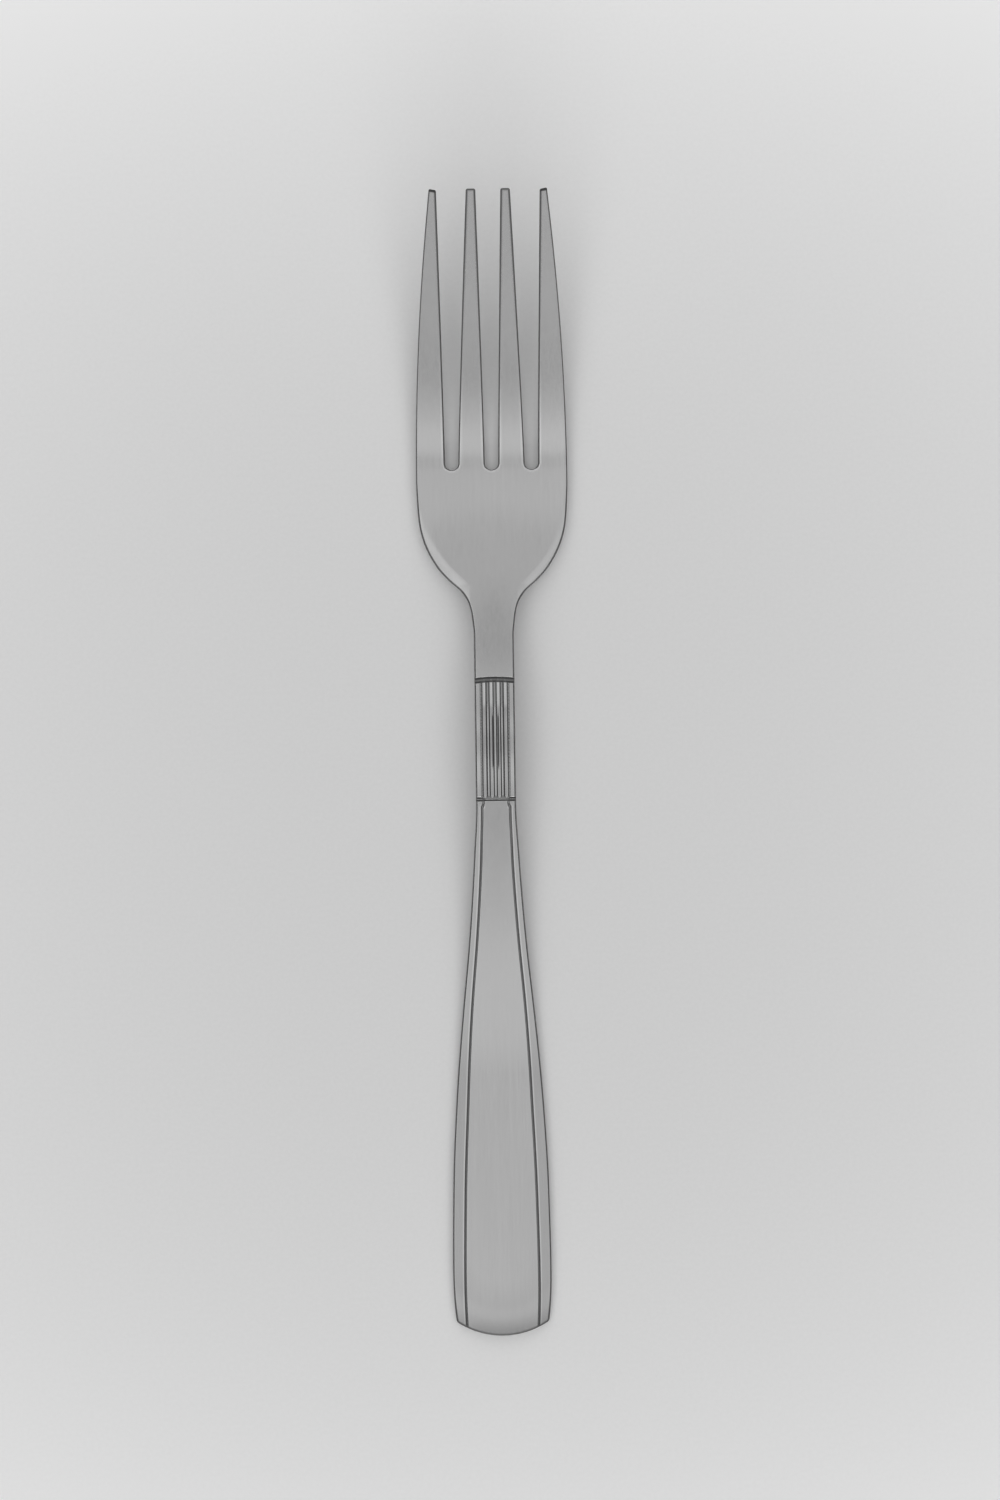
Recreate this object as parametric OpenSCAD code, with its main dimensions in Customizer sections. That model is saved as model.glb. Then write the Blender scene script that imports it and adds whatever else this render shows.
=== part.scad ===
// Dinner fork with railed handle and fluted band, lying face up on its belly and its flat handle.
// X runs across the fork, Y along it towards the tips, and Z up from the table.
// A place along the fork is its distance from the end of the handle, measured along Y.
// The real fork is one piece of steel, so the parts below are zones of it that meet face to face
// on plain cross-sections. They share one set of functions, so their surfaces run on unbroken.

/* [Length] */
// End of the handle to the foot of the fluted band
handle_length = 95.8; // [85:0.1:105]
// Fluted band with the cross lines at its foot and top
band_length = 23.4; // [20:0.1:28]
// Straight neck above the band
neck_length = 6.8; // [4:0.1:12]
// Start of the shoulders to the widest place of the head
shoulder_length = 28; // [24:0.1:32]
// Widest place of the head to the bottoms of the slots
palm_length = 1.8; // [1.5:0.1:6]
// Depth of the slots between the tines
slot_depth = 49.2; // [44:0.1:54]

/* [Width] */
// Widest width of the handle
handle_width = 17.7; // [15:0.02:20]
// Distance of that place from the end of the handle
widest_at = 12; // [10:0.5:16]
// Width of the neck and the band
neck_width = 7.15; // [6.5:0.05:9]
// Widest width of the head
head_width = 27.2; // [25:0.1:29]
// Width over the tips of the outer tines
tips_width = 20.95; // [20.4:0.05:22]
// Width of a slot at its root
slot_width = 2.44; // [2:0.02:2.8]
// Distance between the centre lines of the slots at their roots
slot_pitch = 7.17; // [6.8:0.01:7.5]
// Gap between the inner tines at their tips
middle_gap = 4.44; // [4:0.02:4.8]
// Width of an inner tine at its tip
inner_tip_width = 1.69; // [1.4:0.01:1.9]
// Width of an outer tine at its tip
outer_tip_width = 1.28; // [1.1:0.01:1.5]
// How much shorter the two outer tines are at their inner side than at their outer side
tip_slant = 0.24; // [0:0.02:0.3]

/* [Side profile] */
// Height of the back above the table at the top of the arch
arch_height = 6.3; // [4.5:0.1:9]
// Height of the back above the table at the tips
tip_rise = 15.4; // [12:0.1:18]
// Length of the flat handle, which rests on the table, before it bends up to the band
flat_length = 47; // [35:0.5:55]
// Length over which the tines turn up most, ahead of the slots' roots
curl_length = 11; // [7:0.5:16]
// Thickness at the end of the handle
end_thick = 2.2; // [1.8:0.05:2.8]
// Thickness at the band and the neck
neck_thick = 3.7; // [3:0.05:4.2]
// Thickness at the roots of the tines
root_thick = 2.1; // [1.8:0.05:2.6]
// Thickness at the tips of the tines
tip_thick = 1.25; // [1:0.05:1.5]

/* [Surface] */
// How far the edges of the handle lie below its middle
handle_crown = 0.3; // [0.1:0.02:0.5]
// How far the edges of the neck lie below its middle
neck_crown = 0.2; // [0.1:0.02:0.5]
// How far the edges of the head rise above its middle
head_dish = 0.7; // [0.2:0.02:1.2]
// How far the outer tips rise above the inner ones
tips_dish = 0.3; // [0:0.02:0.8]
// Width of the rolled rim round the shoulders
rim_width = 1.7; // [1:0.05:2.2]
// How far that rim rolls down
rim_drop = 0.3; // [0.1:0.01:0.5]
// Radius of the rounded edges
edge_radius = 0.36; // [0.2:0.02:0.44]

/* [Handle end] */
// Radius of the rounded end
end_radius = 14.9; // [13:0.1:20]
// Radius of its two corners
corner_radius = 0.9; // [0.6:0.05:1.4]
// How much the sides draw in before the corners
end_draft = 0.9; // [0.4:0.05:1.2]
// Length over which the top rolls down to the end
end_roll_length = 5; // [3:0.1:7]
// How far it rolls down
end_roll_drop = 0.6; // [0.1:0.02:0.8]

/* [Rails and flutes] */
// Width of a rail along the band
band_rail_width = 1.25; // [1:0.01:1.4]
// Width of a rail at the widest place of the handle
end_rail_width = 2.16; // [1.8:0.01:2.6]
// How much the rails narrow again towards the very end
rail_pinch = 0.6; // [0:0.05:0.9]
// Depth of the groove between a rail and the panel
groove_depth = 0.3; // [0.2:0.01:0.5]
// Width of the steep wall on the rail's side of the groove
groove_wall = 0.16; // [0.12:0.01:0.25]
// Width over which the panel rolls down into the groove
panel_roll = 0.6; // [0.4:0.05:1.2]
// Number of flutes side by side in the band
flute_count = 4; // [3:1:5]
// Width of the ridge between two flutes
ridge_width = 0.36; // [0.2:0.01:0.45]
// Depth of a flute
flute_depth = 0.4; // [0.2:0.01:0.5]
// Width of a cross line at the top or the foot of the band
line_width = 0.42; // [0.3:0.01:0.5]
// Depth of a cross line
line_depth = 0.22; // [0.1:0.01:0.3]
// Distance between the two cross lines at the top
line_pitch = 0.66; // [0.5:0.01:0.8]
// How far the cross lines at the top bow towards the tines
line_bow = 0.24; // [0:0.01:0.3]

/* [Hidden] */

// Colour of the steel
steel = [0.72, 0.72, 0.71];

// Width of the handle between its widest place and the band, as shares of that length and of the
// difference between the two widths
handle_taper_shares = [
    [0, 1], [0.15, 0.967], [0.24, 0.922], [0.32, 0.852], [0.41, 0.755], [0.49, 0.645],
    [0.58, 0.507], [0.69, 0.327], [0.79, 0.197], [0.9, 0.082], [1, 0]
];
// Width of the shoulders between the neck and the widest place of the head, likewise
shoulder_shares = [
    [0, 0], [0.09, 0.022], [0.16, 0.05], [0.22, 0.105], [0.285, 0.225], [0.35, 0.425],
    [0.415, 0.595], [0.48, 0.718], [0.55, 0.822], [0.63, 0.905], [0.72, 0.958], [0.85, 0.987], [1, 1]
];
// Powers that shape the tapers of the tines, the sides of the head, the end and the rails
slot_taper_power = 1.15;
head_taper_power = 1.92;
draft_power = 2.3;
rail_power = 1.25;
// Shares of the way from the flat handle to the arch that are an even bend up and the arch's own bend
rise_bend_share = 0.76;
arch_bend_share = 0.2;
// Power that moves the steepest place behind the bowl towards the neck
bowl_power = 1.43;
// Share of the shoulders' length where the neck ends and the head begins
neck_cut_share = 0.2;
// Columns of points on a rounded edge, as shares of its radius
edge_column_shares = [0, 0.12, 0.45, 1];
// Radius of a tine's tip in plan, as a share of its half width there
tip_corner_share = 0.45;

// Places along the fork
shoulder_at = handle_length + band_length + neck_length;
head_widest_at = shoulder_at + shoulder_length;
slots_at = head_widest_at + palm_length;
fork_length = slots_at + slot_depth;
band_top = handle_length + band_length;
head_at = shoulder_at + neck_cut_share * shoulder_length;
root_radius = slot_width / 2;
root_at = slots_at + root_radius;
arch_at = handle_length + band_length / 2;

// The back dips this far below the table before the two resting flats are cut
flat_depth = 0.08;
// How far the cut of the flats runs past the fork
overrun = 1;
// Length over which the bowed rows at the end of the handle straighten out
bow_length = 9;
// Length over which the rows round the roots of the slots straighten out
root_fade = 8;
// Length over which the rolled rim fades in and out
rim_fade = 8;
// Length over which the slant of the outer tips fades in
tip_fade = 3;
// Half the distance between two places that a slope is taken from
slope_step = 0.1;

// Flutes
band_groove = neck_width / 2 - band_rail_width;
flute_width = (2 * band_groove - (flute_count - 1) * ridge_width) / flute_count;
flute_pitch = flute_width + ridge_width;
foot_line = handle_length + 1.5 * line_width;
low_line = band_top - 2 * line_width - line_pitch - line_bow;
high_line = low_line + line_pitch;
flute_foot = foot_line + line_width;
flute_top = low_line;

// Corner of the handle's end: its centre, and where it touches the rounded end
end_sag = end_radius - sqrt(end_radius ^ 2 - (handle_width / 2) ^ 2);
corner_x = side(end_sag) - corner_radius;
corner_at = end_radius - sqrt((end_radius - corner_radius) ^ 2 - corner_x ^ 2);
corner_start = end_radius - (end_radius - corner_at) * end_radius / (end_radius - corner_radius);
corner_start_x = corner_x * end_radius / (end_radius - corner_radius);

function mix(a, b, u) = a + (b - a) * u;
function within(u) = min(max(u, 0), 1);
function ease(u) = within(u) ^ 2 * (3 - 2 * within(u));
function wave(u) = (1 - cos(180 * u)) / 2;
function span(a, b, count) = [for (i = [0 : count - 1]) mix(a, b, i / count)];
function mirrored(xs) = [for (x = xs) -x];
function reversed(xs) = [for (i = [len(xs) - 1 : -1 : 0]) xs[i]];

// Smooth curve through a table of stations, each a place and a value. It is level at both ends.
function last(t) = len(t) - 1;
function slope(t, i) =
    i == 0 || i == last(t) ? 0 : (t[i + 1][1] - t[i - 1][1]) / (t[i + 1][0] - t[i - 1][0]);
function stretch(t, u, i = 0) = i >= last(t) - 1 || u < t[i + 1][0] ? i : stretch(t, u, i + 1);
function curve(t, u) =
    let (i = stretch(t, u))
    let (run = t[i + 1][0] - t[i][0])
    let (f = within((u - t[i][0]) / run))
    mix(t[i][1], t[i + 1][1], ease(f))
    + run * f * (1 - f) * (slope(t, i) * (1 - f) - slope(t, i + 1) * f);

// Half the width of the fork, first without and then with the rounded corners of the handle's end
function side(s) =
    s < widest_at ? handle_width / 2 - end_draft * drawn_in(s) :
    s < handle_length ? mix(neck_width, handle_width, handle_share(s)) / 2 :
    s < shoulder_at ? neck_width / 2 :
    s < head_widest_at ? mix(neck_width, head_width, shoulder_share(s)) / 2 :
    mix(head_width, tips_width, draw_in_share(s)) / 2;
function drawn_in(s) = within(1 - s / widest_at) ^ draft_power;
function handle_share(s) = curve(handle_taper_shares, (s - widest_at) / (handle_length - widest_at));
function shoulder_share(s) = curve(shoulder_shares, (s - shoulder_at) / shoulder_length);
function draw_in_share(s) = ((s - head_widest_at) / (fork_length - head_widest_at)) ^ head_taper_power;
function half_width(s) = s < corner_at ? corner_x + sqrt(corner_radius ^ 2 - (corner_at - s) ^ 2) : side(s);
function side_lean(s) = (side(s + slope_step) - side(s - slope_step)) / (2 * slope_step);

// Side profile: the back's middle line, the thickness, and the bend across the fork
function handle_rise(u) =
    let (start = within(u / rise_bend_share))
    let (stop = within((1 - u) / arch_bend_share))
    let (sloped = min(max(u - rise_bend_share, 0), 1 - rise_bend_share - arch_bend_share))
    (rise_bend_share * start ^ 2 / 2 + sloped + arch_bend_share * (1 / 2 - stop ^ 3 + stop ^ 4 / 2))
    / (1 - (rise_bend_share + arch_bend_share) / 2);
function curl(run) = run - curl_length * (1 - exp(-run / curl_length));
function back_line(s) =
    -flat_depth + (
        s < arch_at ? arch_height * handle_rise((s - flat_length) / (arch_at - flat_length)) :
        s < slots_at ? arch_height * wave(((slots_at - s) / (slots_at - arch_at)) ^ bowl_power) :
        tip_rise * curl(s - slots_at) / curl(slot_depth));
function thickness(s) =
    s < arch_at ? mix(end_thick, neck_thick, ease((s - flat_length) / (arch_at - flat_length))) :
    s < band_top ? neck_thick :
    s < root_at ? mix(neck_thick, root_thick, ease((s - band_top) / (root_at - band_top))) :
    mix(root_thick, tip_thick, (s - root_at) / (fork_length - root_at));
function crown(s) =
    s < handle_length ? mix(handle_crown, neck_crown, ease(s / handle_length)) :
    neck_crown * (1 - ease((s - shoulder_at) / shoulder_length));
function dish(s) =
    s < root_at ? head_dish * ease((s - shoulder_at) / shoulder_length) :
    mix(head_dish, tips_dish, (s - root_at) / (fork_length - root_at));

// Edges of the slots: the middle slot's half width, then the outer slot's inner and outer edges
function slot_share(s) = within((s - root_at) / (fork_length - root_at)) ^ slot_taper_power;
function middle_edge(s) = mix(slot_width, middle_gap, slot_share(s)) / 2;
function outer_slot_in(s) = mix(slot_pitch - root_radius, middle_gap / 2 + inner_tip_width, slot_share(s));
function outer_slot_out(s) = mix(slot_pitch + root_radius, tips_width / 2 - outer_tip_width, slot_share(s));

// Distance of a point from the nearest edge. The row's own place is given too, for the width.
function side_gap(x, row) = (half_width(row) - abs(x)) / sqrt(1 + side_lean(row) ^ 2);
function end_gap(x, s) = s < end_radius ? end_radius - norm([x, end_radius - s]) : end_radius;
function root_gap(x, s) =
    min([for (c = [0, slot_pitch]) norm([abs(x) - c, s - root_at]) - root_radius]);
function slot_gap(x, s) =
    abs(x) < outer_slot_in(s) ? min(abs(x) - middle_edge(s), outer_slot_in(s) - abs(x)) :
    abs(x) - outer_slot_out(s);
function edge_gap(x, s, row) =
    let (slots = row > root_at ? slot_gap(x, row) : root_gap(x, s))
    max(0, min(side_gap(x, row), end_gap(x, s), slots, fork_length - row));
function rounded(gap, radius) = gap < radius ? radius - sqrt(radius ^ 2 - (radius - gap) ^ 2) : 0;
function falloff(gap, width) = (1 - within(gap / width)) ^ 2;

// Relief of the rails, the grooves, the flutes and the cross lines
function rail_width(row) =
    mix(band_rail_width, end_rail_width, handle_share(row) ^ rail_power) - rail_pinch * drawn_in(row);
function groove_at(row) = side(row) - (row < handle_length ? rail_width(row) : band_rail_width);
function groove(x, row) =
    let (off = abs(x) - groove_at(row))
    off > 0 ? -groove_depth * (1 - within(off / groove_wall)) :
    -groove_depth * (1 - ease(-off / panel_roll)) ^ 2;
function flute_line(x) =
    let (first = -flute_pitch * (flute_count - 1) / 2)
    first + flute_pitch * within(round((x - first) / flute_pitch) / (flute_count - 1)) * (flute_count - 1);
function flute(x, row) =
    let (low = flute_foot + flute_width / 2)
    let (past = max(0, low - row, row - flute_top))
    -flute_depth * sqrt(max(0, 1 - (norm([x - flute_line(x), past]) / (flute_width / 2)) ^ 2));
function line(row, at) = -line_depth * max(0, 1 - (abs(row - at) / (line_width / 2)) ^ 2);
function band_relief(x, row) = min(
    line(row, high_line),
    line(row, low_line),
    line(row, foot_line),
    abs(x) > band_groove ? line(row, flute_foot) : flute(x, row),
    row < flute_foot ? groove(x, row) : 0);
function relief(x, row) = row >= band_top ? 0 : row > handle_length ? band_relief(x, row) : groove(x, row);

// Heights of the face and the back of the fork
function across(x, row) = (x / half_width(row)) ^ 2;
function face(x, s, row) =
    back_line(s) + thickness(s) + (dish(s) - crown(s)) * across(x, row) + relief(x, row)
    - rim_drop * falloff(side_gap(x, row), rim_width) * ease((s - shoulder_at) / rim_fade)
        * (1 - ease((s - head_widest_at) / rim_fade))
    - end_roll_drop * falloff(end_gap(x, s), end_roll_length)
    - rounded(edge_gap(x, s, row), edge_radius);
function back(x, s, row) =
    back_line(s) + (dish(s) + crown(s)) * across(x, row) + rounded(edge_gap(x, s, row), edge_radius);

// A closed slab between a face and a back that are grids of points, rows by columns
module slab(face_points, back_points) {
    rows = len(face_points);
    columns = len(face_points[0]);
    count = rows * columns;
    function at(k, j) = k * columns + j;
    face_quads = [for (k = [0 : rows - 2], j = [0 : columns - 2])
        [at(k, j), at(k + 1, j), at(k + 1, j + 1), at(k, j + 1)]];
    back_quads = [for (q = face_quads) [for (p = reversed(q)) p + count]];
    rim = concat(
        [for (j = [0 : columns - 2]) [at(0, j), at(0, j + 1)]],
        [for (k = [0 : rows - 2]) [at(k, columns - 1), at(k + 1, columns - 1)]],
        [for (j = [columns - 2 : -1 : 0]) [at(rows - 1, j + 1), at(rows - 1, j)]],
        [for (k = [rows - 2 : -1 : 0]) [at(k + 1, 0), at(k, 0)]]);
    wall_quads = [for (e = rim) [e[0], e[1], e[1] + count, e[0] + count]];
    polyhedron(
        points = concat([for (r = face_points) each r], [for (r = back_points) each r]),
        faces = [
            for (q = concat(face_quads, back_quads, wall_quads))
                each [[q[0], q[1], q[2]], [q[0], q[2], q[3]]]
        ],
        convexity = 8);
}

// A zone of the fork, from a grid of plan points, each [x, place, row]
module zone(plan) {
    color(steel)
    difference() {
        slab(
            [for (r = plan) [for (p = r) [p[0], p[1] - fork_length / 2, face(p[0], p[1], p[2])]]],
            [for (r = plan) [for (p = r) [p[0], p[1] - fork_length / 2, back(p[0], p[1], p[2])]]]);
        below_table();
    }
}

// What lies below the table, cut away for the two resting flats
module below_table() {
    translate([-head_width / 2 - overrun, -fork_length / 2 - overrun, -overrun])
        cube([head_width + 2 * overrun, fork_length + 2 * overrun, overrun]);
}

// Columns of points across the handle, the band and the neck, as distances from the middle
function edge_columns(row) = [for (u = edge_column_shares) half_width(row) - u * edge_radius];
function handle_columns(row) =
    let (g = groove_at(row))
    let (inner = half_width(row) - edge_radius)
    let (half = concat(edge_columns(row),
        [mix(inner, g + groove_wall, 0.5), g + groove_wall, g, g - panel_roll / 3, g - panel_roll, g / 2]))
    concat(mirrored(half), [0], reversed(half));

flute_column_shares = [-1, -0.85, -0.45, 0, 0.45, 0.85, 1];
flute_columns = [
    for (i = [0 : flute_count - 1])
        let (middle = (i - (flute_count - 1) / 2) * flute_pitch)
        for (u = flute_column_shares)
            middle + u * flute_width / 2
];
function band_columns(row) =
    let (half = concat(edge_columns(row), [band_groove + groove_wall]))
    concat(mirrored(half), flute_columns, reversed(half));

function neck_columns(row) =
    let (inner = half_width(row) - edge_radius)
    let (half = concat(edge_columns(row), [inner * 2 / 3, inner / 3]))
    concat(mirrored(half), [0], reversed(half));

// Rows of points along each zone
handle_row_shares = [0, 0.02, 0.045, 0.075, 0.11];
handle_rows = concat(
    span(corner_start, corner_at, 3),
    [for (u = handle_row_shares) mix(corner_at, handle_length, u)],
    span(mix(corner_at, handle_length, 0.16), handle_length, 18),
    [handle_length]);
function end_bow(x, row) =
    let (rounded_end = end_radius - sqrt(end_radius ^ 2 - min(abs(x), corner_start_x) ^ 2))
    (rounded_end - corner_start) * (1 - ease((row - corner_start) / bow_length));

line_row_shares = [-1, -0.5, 0, 0.5, 1];
function line_rows(at) = [for (u = line_row_shares) at + u * line_width / 2];
flute_end_shares = [0, 0.4, 0.75, 1];
band_rows = concat(
    [handle_length],
    line_rows(foot_line),
    [for (u = flute_end_shares) flute_foot + (1 - cos(90 * u)) * flute_width / 2],
    span(flute_foot + flute_width, low_line - line_width, 5),
    line_rows(low_line),
    line_rows(high_line),
    [band_top]);
function band_bow(x, row) =
    row < band_top ? line_bow * (1 - across(x, row)) * ease((row - arch_at) / (low_line - arch_at)) : 0;

neck_rows = concat(span(band_top, shoulder_at, 4), span(shoulder_at, head_at, 5), [head_at]);

module handle() zone([for (r = handle_rows) [for (x = handle_columns(r)) [x, r + end_bow(x, r), r]]]);
module fluted_band() zone([for (r = band_rows) [for (x = band_columns(r)) [x, r + band_bow(x, r), r]]]);
module neck() zone([for (r = neck_rows) [for (x = neck_columns(r)) [x, r, r]]]);

// Columns of points across one tine, from its left edge to its right edge
function tine_columns(left, right) = concat(
    [for (u = edge_column_shares) left + u * edge_radius],
    [(left + right) / 2],
    [for (u = reversed(edge_column_shares)) right - u * edge_radius]);
function tine_edges(i, s) =
    let (inner = [middle_edge(s), outer_slot_in(s)])
    let (outer = [outer_slot_out(s), side(s)])
    i == 0 ? reversed(mirrored(outer)) : i == 1 ? reversed(mirrored(inner)) : i == 2 ? inner : outer;

tine_row_shares = [0, 0.02, 0.05, 0.09, 0.14, 0.2, 0.27, 0.35, 0.44, 0.53, 0.62, 0.71, 0.79, 0.86, 0.92, 0.96];
tip_row_shares = [1, 0.6, 0.25, 0];
function set_back(i, x, s) =
    i == 1 || i == 2 ? 0 :
    tip_slant * (side(s) - abs(x)) / outer_tip_width * ease((s - fork_length + tip_fade) / tip_fade);
module tine(i) {
    tip = tine_edges(i, fork_length);
    corner = tip_corner_share * (tip[1] - tip[0]) / 2;
    rows = concat(
        [for (u = tine_row_shares) mix(root_at, fork_length, u)],
        [for (u = tip_row_shares) fork_length - u * corner]);
    zone([for (s = rows)
        let (e = tine_edges(i, s))
        let (nip = rounded(fork_length - s, corner))
        [for (x = tine_columns(e[0] + nip, e[1] - nip)) [x, s - set_back(i, x, s), s]]]);
}
module tine_1() tine(0);
module tine_2() tine(1);
module tine_3() tine(2);
module tine_4() tine(3);

// The head's columns fan out from the neck and end in the four tines and the roots of the slots
slot_column_shares = [-0.92, -0.7, -0.36, 0, 0.36, 0.7, 0.92];
function root_columns(i) =
    [for (u = slot_column_shares) [i * slot_pitch + u * root_radius, root_radius * sqrt(1 - u ^ 2)]];
head_columns = [
    for (i = [0 : 3])
        let (e = tine_edges(i, root_at))
        each concat(
            [for (x = tine_columns(e[0], e[1])) [x, 0]],
            i == 3 ? [] : root_columns(i - 1))
];
head_row_shares = [0, 0.05, 0.1, 0.15, 0.2, 0.26, 0.32, 0.38, 0.45, 0.52, 0.6, 0.68, 0.76, 0.84, 0.91, 0.96];
root_row_shares = [1, 0.3, 0];
head_rows = concat(
    [for (u = head_row_shares) mix(head_at, root_at - edge_radius, u)],
    [for (u = root_row_shares) root_at - u * edge_radius]);
root_inner = half_width(root_at) - edge_radius;
function head_column(x, row) =
    let (inner = half_width(row) - edge_radius)
    abs(x) <= root_inner ? x * inner / root_inner :
    sign(x) * (half_width(row) - (half_width(root_at) - abs(x)));
function root_bow(depth, row) = depth * (1 - within((root_at - row) / root_fade));
module head()
    zone([for (r = head_rows) [for (c = head_columns) [head_column(c[0], r), r - root_bow(c[1], r), r]]]);

tine_1();
tine_2();
tine_3();
tine_4();
head();
neck();
fluted_band();
handle();
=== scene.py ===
"""Dinner fork, lying face up on a pale table and seen from straight above.

The real fork is one piece of steel, so its surface is worked out as one grid of rows and columns.
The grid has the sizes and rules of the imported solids, with finer steps, and is then cut into one
closed mesh for each node. To match the photo, the grooves, the flutes, the foot line and the
shoulders' rim differ from the solids by less than a millimetre, and fine seams run beside the
flutes. Lengths are millimetres, and a place along the fork is its distance from the handle's end.
"""
import math

import bpy
import numpy as np
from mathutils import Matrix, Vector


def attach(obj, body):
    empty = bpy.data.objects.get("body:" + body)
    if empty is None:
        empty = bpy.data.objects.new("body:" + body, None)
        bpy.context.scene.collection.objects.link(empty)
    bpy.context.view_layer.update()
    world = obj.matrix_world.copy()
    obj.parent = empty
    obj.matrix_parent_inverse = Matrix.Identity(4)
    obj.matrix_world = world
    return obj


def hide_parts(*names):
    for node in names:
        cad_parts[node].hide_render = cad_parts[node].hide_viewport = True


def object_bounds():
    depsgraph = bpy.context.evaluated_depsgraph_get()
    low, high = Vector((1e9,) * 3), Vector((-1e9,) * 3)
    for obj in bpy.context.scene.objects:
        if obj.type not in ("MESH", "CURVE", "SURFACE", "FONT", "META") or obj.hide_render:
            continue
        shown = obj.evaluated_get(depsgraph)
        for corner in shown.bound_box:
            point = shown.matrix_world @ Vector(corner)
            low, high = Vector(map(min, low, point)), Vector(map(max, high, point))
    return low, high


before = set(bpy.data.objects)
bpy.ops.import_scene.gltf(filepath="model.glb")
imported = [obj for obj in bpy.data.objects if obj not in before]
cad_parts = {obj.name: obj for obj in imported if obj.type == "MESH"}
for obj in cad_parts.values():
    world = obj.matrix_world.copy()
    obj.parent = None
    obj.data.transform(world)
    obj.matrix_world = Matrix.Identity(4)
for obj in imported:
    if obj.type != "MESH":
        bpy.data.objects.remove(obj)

CAD_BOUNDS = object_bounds()
MM = 0.001

# Lengths along the fork
HANDLE_LENGTH = 95.8
BAND_LENGTH = 23.4
NECK_LENGTH = 6.8
SHOULDER_LENGTH = 28.0
PALM_LENGTH = 1.8
SLOT_DEPTH = 49.2

# Widths
HANDLE_WIDTH = 17.7
WIDEST_AT = 12.0
NECK_WIDTH = 7.15
HEAD_WIDTH = 27.2
TIPS_WIDTH = 20.95
SLOT_WIDTH = 2.44
SLOT_PITCH = 7.17
MIDDLE_GAP = 4.44
INNER_TIP_WIDTH = 1.69
OUTER_TIP_WIDTH = 1.28
TIP_SLANT = 0.24

# Side profile
ARCH_HEIGHT = 6.3
TIP_RISE = 15.4
FLAT_LENGTH = 47.0
CURL_LENGTH = 11.0
END_THICK = 2.2
NECK_THICK = 3.7
ROOT_THICK = 2.1
TIP_THICK = 1.25
FLAT_DEPTH = 0.08

# Bend across the fork, and its rounded edges
HANDLE_CROWN = 0.3
NECK_CROWN = 0.2
HEAD_DISH = 0.7
TIPS_DISH = 0.3
EDGE_RADIUS = 0.36
TIP_CORNER_SHARE = 0.45

# Bevel rolled inside the shoulders' edges: its widths on the left and on the right, its slope and
# bend, its share of full width by the share of its length, and where it starts and fades
RIM_WIDTHS = (2.2, 1.8)
RIM_SLOPE = 0.155
RIM_BEND = 0.04
RIM_CREASE = 0.12
RIM_SHARES = [(0, 0), (0.22, 1), (0.48, 0.9), (0.75, 0.45), (1, 0.1)]
RIM_START = 130.4
RIM_LENGTH = 23.6
RIM_FADE = 8.0

# End of the handle
END_RADIUS = 14.9
CORNER_RADIUS = 0.9
END_DRAFT = 0.9
END_ROLL_LENGTH = 5.0
END_ROLL_DROP = 0.6

# Rails, flutes and cross lines
BAND_RAIL_WIDTH = 1.25
END_RAIL_WIDTH = 2.16
GROOVE_DEPTH = 0.25
GROOVE_WALL = 0.16
PANEL_ROLL = 0.45
RAIL_PINCH = 0.6
FLUTE_COUNT = 4
RIDGE_WIDTH = 0.36
FLUTE_DEPTH = 0.24
LINE_WIDTH = 0.42
LINE_DEPTH = 0.22
LINE_PITCH = 0.66
LINE_BOW = 0.24
FOOT_LINE_WIDTH = 0.28
SEAM_WIDTH = 0.34
SEAM_DEPTH = 0.08

# Tapers: stations of place and width, both as shares
HANDLE_TAPER_SHARES = [
    (0, 1), (0.15, 0.967), (0.24, 0.922), (0.32, 0.852), (0.41, 0.755), (0.49, 0.645),
    (0.58, 0.507), (0.69, 0.327), (0.79, 0.197), (0.9, 0.082), (1, 0),
]
SHOULDER_SHARES = [
    (0, 0), (0.09, 0.022), (0.16, 0.05), (0.22, 0.105), (0.285, 0.225), (0.35, 0.425),
    (0.415, 0.595), (0.48, 0.718), (0.55, 0.822), (0.63, 0.905), (0.72, 0.958), (0.85, 0.987), (1, 1),
]

# Small shifts of the grooves away from the middle, by the share of the handle's length
GROOVE_SHIFTS = [
    (0, 0), (0.085, 0.04), (0.16, 0), (0.254, -0.06), (0.348, -0.12), (0.44, -0.11), (0.517, 0),
    (0.593, 0.1), (0.668, 0.12), (0.743, 0.08), (0.82, 0.05), (0.893, 0.06), (0.93, 0.14), (0.96, 0.2),
    (1, 0.26),
]

# Powers of the simpler tapers and of the bowl, and the shares of the way up the arch over which it
# bends upwards and over which it levels off
SLOT_TAPER_POWER = 1.15
HEAD_TAPER_POWER = 1.92
DRAFT_POWER = 2.3
RAIL_POWER = 1.25
BOWL_POWER = 1.43
RISE_BEND_SHARE = 0.76
ARCH_BEND_SHARE = 0.2

# Where the neck ends, as a share of the shoulders' length, and half the step that finds a lean
NECK_CUT_SHARE = 0.2
LEAN_STEP = 0.1

# Places along the fork
BAND_TOP = HANDLE_LENGTH + BAND_LENGTH
SHOULDER_AT = BAND_TOP + NECK_LENGTH
HEAD_AT = SHOULDER_AT + NECK_CUT_SHARE * SHOULDER_LENGTH
HEAD_WIDEST_AT = SHOULDER_AT + SHOULDER_LENGTH
SLOTS_AT = HEAD_WIDEST_AT + PALM_LENGTH
FORK_LENGTH = SLOTS_AT + SLOT_DEPTH
ROOT_RADIUS = SLOT_WIDTH / 2
ROOT_AT = SLOTS_AT + ROOT_RADIUS
ARCH_AT = HANDLE_LENGTH + BAND_LENGTH / 2
BAND_GROOVE = NECK_WIDTH / 2 - BAND_RAIL_WIDTH
FLUTE_WIDTH = (2 * BAND_GROOVE - (FLUTE_COUNT - 1) * RIDGE_WIDTH) / FLUTE_COUNT
FLUTE_PITCH = FLUTE_WIDTH + RIDGE_WIDTH
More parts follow.
